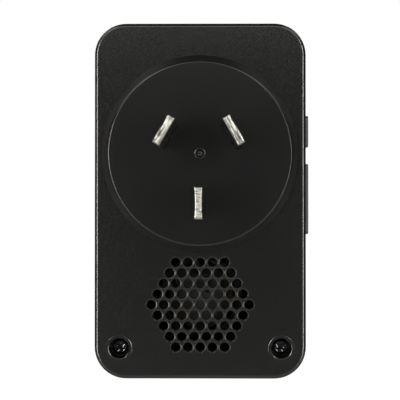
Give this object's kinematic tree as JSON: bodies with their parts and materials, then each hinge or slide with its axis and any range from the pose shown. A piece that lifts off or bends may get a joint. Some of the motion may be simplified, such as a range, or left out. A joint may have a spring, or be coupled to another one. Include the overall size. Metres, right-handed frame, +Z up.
{
  "type": "ultrasonic pest repeller",
  "caption": "Plug-in ultrasonic pest repeller: slim rounded case with a flat-pin plug on a round rear boss, honeycomb sound grilles, and two side keys.",
  "frame": {"origin": "centre of the plug boss face, on the plug's axis", "axes": "+Y along the plug pins towards the wall, -Y out of the front of the case, +Z up; the side keys are on the -X wall"},
  "size_m": [0.0473, 0.0499, 0.0772],
  "materials": {
    "case_plastic": "fine spark-eroded matt black",
    "key_plastic": "satin black",
    "screw_steel": "black oxide",
    "pin_metal": "nickel plated brass",
    "clamp_plastic": "natural nylon",
    "zinc_steel": "zinc plated",
    "brown_insulation": "PVC",
    "blue_insulation": "PVC",
    "black_insulation": "PVC",
    "circuit_board": "solder resist over glass laminate",
    "capacitor_yellow": "potted box",
    "capacitor_sleeve": "shrink sleeve",
    "resistor_blue": "lacquer",
    "resistor_tan": "lacquer",
    "component_black": "moulded epoxy",
    "ferrite": "ground ferrite",
    "copper_winding": "enamelled copper wire",
    "lamp_epoxy": "clear epoxy",
    "clear_lens": "polished acrylic",
    "plunger_plastic": "acetal",
    "speaker_plastic": "moulded ABS",
    "cone_paper": "pressed paper",
    "foam": "closed cell foam",
    "mesh_cloth": "fine woven mesh",
    "brass": "rolled brass",
    "ceramic": "silvered ceramic"
  },
  "bodies": {
    "case": {"rear_cover": "case_plastic", "front_cover": "case_plastic", "case_screws": "screw_steel", "active_pin": "pin_metal", "neutral_pin": "pin_metal", "earth_pin": "pin_metal", "pin_clamp": "clamp_plastic", "transformer_bobbin": "clamp_plastic", "speaker_connector": "clamp_plastic", "pin_clamp_screws": "zinc_steel", "board_screws": "zinc_steel", "speaker_screws": "zinc_steel", "rocker_pin": "zinc_steel", "active_lead": "brown_insulation", "neutral_lead": "blue_insulation", "speaker_leads": "black_insulation", "main_board": "circuit_board", "switch_board": "circuit_board", "x2_capacitor": "capacitor_yellow", "electrolytic_capacitors": "capacitor_sleeve", "fuse_resistor": "resistor_blue", "resistors": "resistor_tan", "bridge_rectifier": "component_black", "controller_chip": "component_black", "transistors": "component_black", "diodes": "component_black", "board_header": "component_black", "switch_bodies": "component_black", "transformer_core": "ferrite", "transformer_winding": "copper_winding", "indicator_leds": "lamp_epoxy", "indicator_lens": "clear_lens", "speaker_frame": "speaker_plastic", "speaker_cone": "cone_paper", "speaker_gasket": "foam", "speaker_mesh": "mesh_cloth", "piezo_disc": "brass", "piezo_ceramic": "ceramic"},
    "mode_key": {"mode_button": "key_plastic"},
    "mode_switch": {"mode_plunger": "plunger_plastic"},
    "level_key": {"level_rocker": "key_plastic"},
    "upper_switch": {"upper_plunger": "plunger_plastic"},
    "lower_switch": {"lower_plunger": "plunger_plastic"}
  },
  "joints": [
    {"name": "mode_key_press", "type": "slide", "parent": "case", "child": "mode_key", "axis": [1, 0, 0], "range_m": [0, 0.0003], "stiffness_N_per_m": 2000},
    {"name": "mode_switch_press", "type": "slide", "parent": "case", "child": "mode_switch", "axis": [1, 0, 0], "range_m": [0, 0.0003]},
    {"name": "level_key_rock", "type": "hinge", "parent": "case", "child": "level_key", "pos_m": [-0.0196, -0.014, -0.0099], "axis": [0, 1, 0], "range_deg": [-2.5, 2.5], "stiffness_Nm_per_rad": 0.1},
    {"name": "upper_switch_press", "type": "slide", "parent": "case", "child": "upper_switch", "axis": [1, 0, 0], "range_m": [-0.00025, 0.00025]},
    {"name": "lower_switch_press", "type": "slide", "parent": "case", "child": "lower_switch", "axis": [1, 0, 0], "range_m": [-0.00025, 0.00025]}
  ],
  "couplings": [
    {"joint": "mode_switch_press", "follows": "mode_key_press", "ratio": 1},
    {"joint": "upper_switch_press", "follows": "level_key_rock", "m_per_rad": 0.0055},
    {"joint": "lower_switch_press", "follows": "level_key_rock", "m_per_rad": -0.0055}
  ]
}
